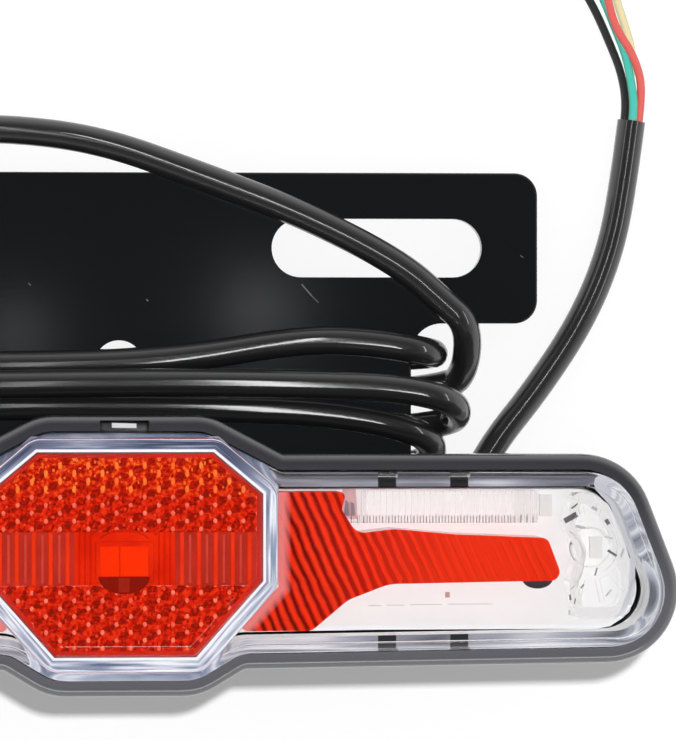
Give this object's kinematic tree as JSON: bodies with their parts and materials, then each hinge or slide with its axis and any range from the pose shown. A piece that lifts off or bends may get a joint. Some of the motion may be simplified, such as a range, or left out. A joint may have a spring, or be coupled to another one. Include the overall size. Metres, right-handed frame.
{
  "type": "bike tail light",
  "caption": "Wide rear light for a bicycle rack: red centre reflector, red and clear wings with turn signals, flat slotted steel bracket and a long cable wound round its neck.",
  "frame": {"origin": "middle of the two rack slots, on the bracket's back face", "axes": "+Z out of the lens, +Y from the light towards the bracket's slotted arm, +X along the light to the right as seen from the front"},
  "size_m": [0.1458, 0.1151, 0.0316],
  "materials": {
    "bracket_paint": "satin black powder coat",
    "zinc_steel": "zinc plated",
    "housing_plastic": "moulded, semi-gloss",
    "seal_rubber": "pale grey silicone",
    "clear_lens": "clear polycarbonate",
    "red_lens": "transparent red, moulded prisms",
    "white_board": "white solder mask",
    "led_red": "LED package",
    "led_amber": "LED package",
    "chip_black": "moulded epoxy",
    "can_aluminium": "drawn can",
    "cable_jacket": "glossy PVC jacket",
    "wire_black_skin": "PVC insulation",
    "wire_green_skin": "PVC insulation",
    "wire_yellow_skin": "PVC insulation",
    "wire_red_skin": "PVC insulation",
    "tinned_copper": "tinned strands"
  },
  "bodies": {
    "root": {"bracket": "bracket_paint", "mounting_bolts": "zinc_steel", "flat_washers": "zinc_steel", "spring_washers": "zinc_steel", "mounting_nuts": "zinc_steel", "rear_housing": "housing_plastic", "lens_gasket": "seal_rubber", "front_lens": "clear_lens", "centre_reflector": "red_lens", "main_board": "white_board", "board_screws": "zinc_steel", "light_guide_right": "red_lens", "light_guide_left": "red_lens", "light_bar_right": "clear_lens", "light_bar_left": "clear_lens", "turn_optic_right": "clear_lens", "turn_optic_left": "clear_lens", "tail_leds": "led_red", "turn_leds": "led_amber", "centre_leds": "led_red", "driver_chip": "chip_black", "resistors": "chip_black", "capacitor": "can_aluminium", "inductor": "chip_black", "diodes": "chip_black", "cable_gland": "cable_jacket", "inner_leads": "wire_red_skin", "cable_lead": "cable_jacket", "cable_turns": "cable_jacket", "cable_tail": "cable_jacket", "wire_black": "wire_black_skin", "wire_green": "wire_green_skin", "wire_yellow": "wire_yellow_skin", "wire_red": "wire_red_skin", "wire_tips": "tinned_copper"}
  },
  "joints": []
}
